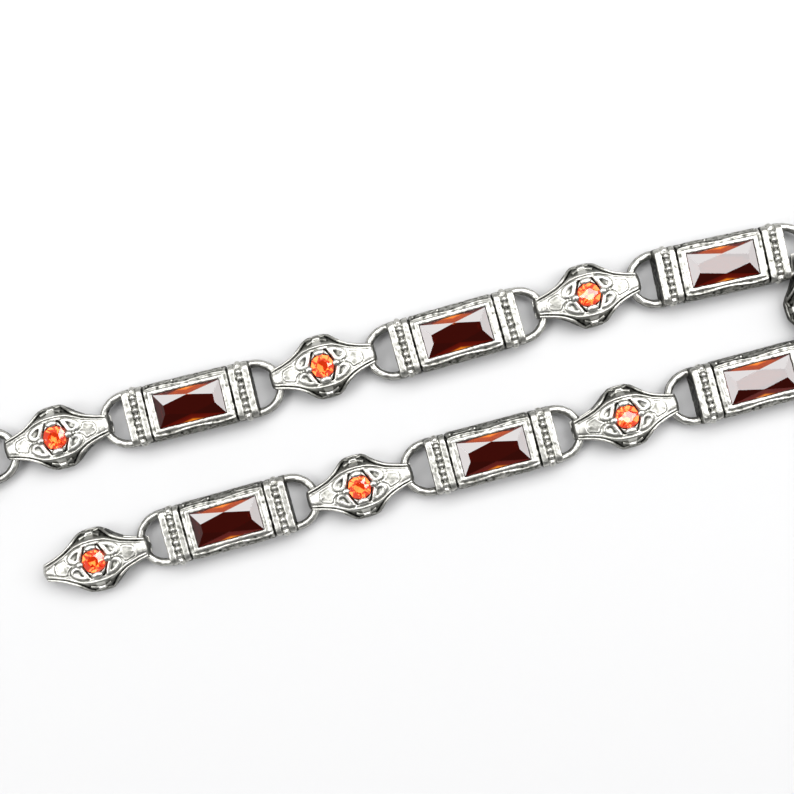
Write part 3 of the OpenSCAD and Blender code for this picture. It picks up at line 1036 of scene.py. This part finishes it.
def makeRoundStone():
    r, n = roundStone["radius"], roundStone["sides"]
    girdle = roundStone["girdle"]
    edge = girdle + roundStone["girdleHeight"]
    top = edge + roundStone["crown"]
    low = roundStone["low"]

    def ring(radius, k, z):
        angle = 2 * math.pi * k / n
        return (radius * math.cos(angle), radius * math.sin(angle), z)

    bm = bmesh.new()
    bmesh.ops.create_cone(bm, cap_ends=True, segments=n, radius1=r, radius2=r, depth=top - low)
    bmesh.ops.translate(bm, vec=(0, 0, (top + low) / 2), verts=bm.verts)
    table = roundStone["table"] * r
    cuts = []
    for k in range(n):
        cuts.append(facet(ring(r, k, edge), ring(r, k + 1, edge), ring(table, k + 0.5, top)))
        cuts.append(facet(ring(r, k, edge), ring(table, k - 0.5, top), ring(table, k + 0.5, top)))
        cuts.append(facet(ring(r, k, girdle), ring(r, k + 1, girdle), (0, 0, low)))
    cutFacets(bm, cuts)
    stone = newObject("roundStoneMaster", bm)
    paintedFacetLight(stone, roundStone["shares"])
    stone.data.materials.append(stoneGlass("flameGlass", flameLook))
    return stone


# Finishes

def newMaterial(name):
    material = bpy.data.materials.new(name)
    material.use_nodes = True
    nodes, links = material.node_tree.nodes, material.node_tree.links
    return material, nodes, links, nodes["Principled BSDF"]


silverLook = {
    "bright": (0.55, 0.545, 0.51, 1),
    "dull": (0.17, 0.17, 0.15, 1),
    "oxideAndShade": (0.01, 0.01, 0.009, 1),
    "polish": 0.36,          # roughness of the rubbed faces
    "matt": 0.55,            # roughness of the oxide
    "patches": 0.22,         # stain of the cloudy patches
    "patchEdges": (0.46, 0.72),
    "toneSteps": (0.05, 0.4, 0.8),       # stain at which the metal is bright, dull and black
    "mattFrom": 0.7,
    "dentScale": 1500,
    "dents": (0.6, 0.00008),     # strength, and depth in metres
    "grainScale": 7000,
    "scratches": (0.15, 0.00002),
}


def oldSilver():
    material, nodes, links, shader = newMaterial("oldSilver")
    shader.inputs["Metallic"].default_value = 1
    place = nodes.new("ShaderNodeTexCoord")
    oxideAndShadeNode = nodes.new("ShaderNodeAttribute")
    oxideAndShadeNode.attribute_name = "oxideAndShade"
    cloud = nodes.new("ShaderNodeTexNoise")
    cloud.inputs["Scale"].default_value = silverLook["dentScale"]
    cloud.inputs["Detail"].default_value = 4
    grain = nodes.new("ShaderNodeTexNoise")
    grain.inputs["Scale"].default_value = silverLook["grainScale"]
    grain.inputs["Detail"].default_value = 2
    for pattern in (cloud, grain):
        links.new(place.outputs["Object"], pattern.inputs["Vector"])
    patches = nodes.new("ShaderNodeMapRange")      # worn and stained patches
    patches.inputs["From Min"].default_value = silverLook["patchEdges"][0]
    patches.inputs["From Max"].default_value = silverLook["patchEdges"][1]
    patches.inputs["To Max"].default_value = silverLook["patches"]
    links.new(cloud.outputs["Fac"], patches.inputs["Value"])
    # the cloudy patches plus the attribute, which holds both oxide and painted shade
    stain = nodes.new("ShaderNodeMath")
    stain.operation = "ADD"
    links.new(patches.outputs["Result"], stain.inputs[0])
    links.new(oxideAndShadeNode.outputs["Fac"], stain.inputs[1])
    tone = nodes.new("ShaderNodeValToRGB")
    steps = tone.color_ramp.elements
    brightAt, dullAt, blackAt = silverLook["toneSteps"]
    steps[0].position, steps[0].color = brightAt, silverLook["bright"]
    steps[1].position, steps[1].color = blackAt, silverLook["oxideAndShade"]
    steps.new(dullAt).color = silverLook["dull"]
    links.new(stain.outputs["Value"], tone.inputs["Fac"])
    links.new(tone.outputs["Color"], shader.inputs["Base Color"])
    rough = nodes.new("ShaderNodeMapRange")
    rough.inputs["From Max"].default_value = silverLook["mattFrom"]
    rough.inputs["To Min"].default_value = silverLook["polish"]
    rough.inputs["To Max"].default_value = silverLook["matt"]
    links.new(stain.outputs["Value"], rough.inputs["Value"])
    links.new(rough.outputs["Result"], shader.inputs["Roughness"])
    dents = nodes.new("ShaderNodeBump")
    scratches = nodes.new("ShaderNodeBump")
    for bump, pattern, name in ((dents, cloud, "dents"), (scratches, grain, "scratches")):
        bump.inputs["Strength"].default_value, bump.inputs["Distance"].default_value = silverLook[name]
        links.new(pattern.outputs["Fac"], bump.inputs["Height"])
    links.new(dents.outputs["Normal"], scratches.inputs["Normal"])
    links.new(scratches.outputs["Normal"], shader.inputs["Normal"])
    return material


garnetLook = {
    "paintedGlow": (0.035, 0.0025, 0.0012, 1),      # painted glow, standing in for light scattered inside the stone
    "keeps": (0.45, 0.08, 0.002),    # share of red, green and blue light left after the depth
    "depth": 4,
    "bend": 2.16,            # index of refraction
}
flameLook = {
    "paintedGlow": (0.2, 0.022, 0.004, 1),
    "keeps": (0.95, 0.24, 0.08),
    "depth": 2,
    "bend": 2.16,
}
paintedFlashLook = {                # painted flash: an orange glow painted where a long stone's edge seems to gather light
    "from": 0.1,
    "middle": (0.6, 2.5),    # place, and strength against the glow
    "full": 0.95,
    "color": (1, 0.3, 0.02, 1),
}


def stoneGlass(name, look):
    paintedGlow = look["paintedGlow"]
    material, nodes, links, shader = newMaterial(name)
    # painted shade: the facets' base colour follows their painted share of light
    shares = nodes.new("ShaderNodeAttribute")
    shares.attribute_name = "paintedFacetLight"
    through = nodes.new("ShaderNodeMix")
    through.data_type = "RGBA"
    through.inputs["A"].default_value = (0, 0, 0, 1)
    through.inputs["B"].default_value = (1, 1, 1, 1)
    links.new(shares.outputs["Fac"], through.inputs["Factor"])
    links.new(through.outputs["Result"], shader.inputs["Base Color"])
    paintedFlash = nodes.new("ShaderNodeAttribute")
    paintedFlash.attribute_name = "paintedFlash"
    paintedGlowAndFlash = nodes.new("ShaderNodeValToRGB")
    steps = paintedGlowAndFlash.color_ramp.elements
    steps[0].position, steps[0].color = paintedFlashLook["from"], paintedGlow
    steps[1].position, steps[1].color = paintedFlashLook["full"], paintedFlashLook["color"]
    place, strength = paintedFlashLook["middle"]
    steps.new(place).color = [strength * part for part in paintedGlow[:3]] + [1]
    links.new(paintedFlash.outputs["Fac"], paintedGlowAndFlash.inputs["Fac"])
    # painted glow and flash: the stone emits this colour, though it is no lamp
    links.new(paintedGlowAndFlash.outputs["Color"], shader.inputs["Emission Color"])
    shader.inputs["Emission Strength"].default_value = 1
    shader.inputs["Transmission Weight"].default_value = 1
    shader.inputs["Roughness"].default_value = 0.01
    shader.inputs["IOR"].default_value = look["bend"]
    loss = [-math.log(share) / (look["depth"] * mm) for share in look["keeps"]]
    strongest = max(loss)
    haze = nodes.new("ShaderNodeVolumeAbsorption")
    haze.inputs["Color"].default_value = [1 - part / strongest for part in loss] + [1]
    haze.inputs["Density"].default_value = strongest
    output = next(node for node in nodes if node.type == "OUTPUT_MATERIAL")
    links.new(haze.outputs["Volume"], output.inputs["Volume"])
    return material


cardLook = {
    "color": (0.58, 0.58, 0.583, 1),
    "roughness": 0.9,
    "shine": 0.1,
}


def whiteCard():
    material, nodes, links, shader = newMaterial("whiteCard")
    shader.inputs["Base Color"].default_value = cardLook["color"]
    shader.inputs["Roughness"].default_value = cardLook["roughness"]
    shader.inputs["Specular IOR Level"].default_value = cardLook["shine"]
    return material


# Places of the links, read from the frame

def middleOf(node):
    low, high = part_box(node)
    return (low + high) / 2


def turnOf(node, centre):
    # the far corners of a node show which way its link points
    points = [vert.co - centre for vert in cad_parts[node].data.vertices]
    reach = [Vector((p.x, p.y)).length for p in points]
    farthest = max(reach)
    corners = [p for p, r in zip(points, reach) if r > farthest - 0.02 * mm]
    same = [p for p in corners if p.x * corners[0].x + p.y * corners[0].y > 0]
    towards = sum(same, Vector())
    return math.atan2(towards.y, towards.x)


def placePiece(master, name, node, centre, turn):
    mesh = master.data.copy()
    mesh.name = name
    place = Matrix.Translation((centre.x, centre.y, 0))
    mesh.transform(place @ Matrix.Rotation(turn, 4, "Z") @ Matrix.Scale(mm, 4))
    piece = bpy.data.objects.new(name, mesh)
    bpy.context.collection.objects.link(piece)
    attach(piece, "root")
    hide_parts(node)
    return piece


addCamera()
addTableTop()
addStudio()
silver = oldSilver()

print("casting the bar link")
barMaster = makeBar()
print("casting the flower link and the end link")
flowerMaster = makeFlower()
endMaster = makeFlower(nose=True)
hookMaster = makeHook()
for master in (barMaster, flowerMaster, endMaster, hookMaster):
    master.data.materials.clear()
    master.data.materials.append(silver)
print("cutting the stones")
longStoneMaster = makeLongStone()
roundStoneMaster = makeRoundStone()

print("laying out the chain")
for k in range(1, 8):
    stoneNode = "long_stone_%d" % k
    centre = middleOf(stoneNode)
    turn = turnOf(stoneNode, centre)
    placePiece(barMaster, "barLink_%d" % k, "bar_link_%d" % k, centre, turn)
    placePiece(longStoneMaster, "longStone_%d" % k, stoneNode, centre, turn)
for k in range(7):
    stoneNode = "round_stone_%d" % k
    linkNode = "flower_link_%d" % k if k else "terminal_link"
    centre = middleOf(stoneNode)
    turn = turnOf(linkNode, centre)
    master = flowerMaster if k else endMaster
    placePiece(master, "flowerLink_%d" % k if k else "endLink", linkNode, centre, turn)
    placePiece(roundStoneMaster, "roundStone_%d" % k, stoneNode, centre, turn)
    if not k:
        placePiece(hookMaster, "claspHook", "clasp_hook", centre, turn)
for master in (barMaster, flowerMaster, endMaster, hookMaster, longStoneMaster, roundStoneMaster):
    bpy.data.objects.remove(master)

print("bracelet finished")
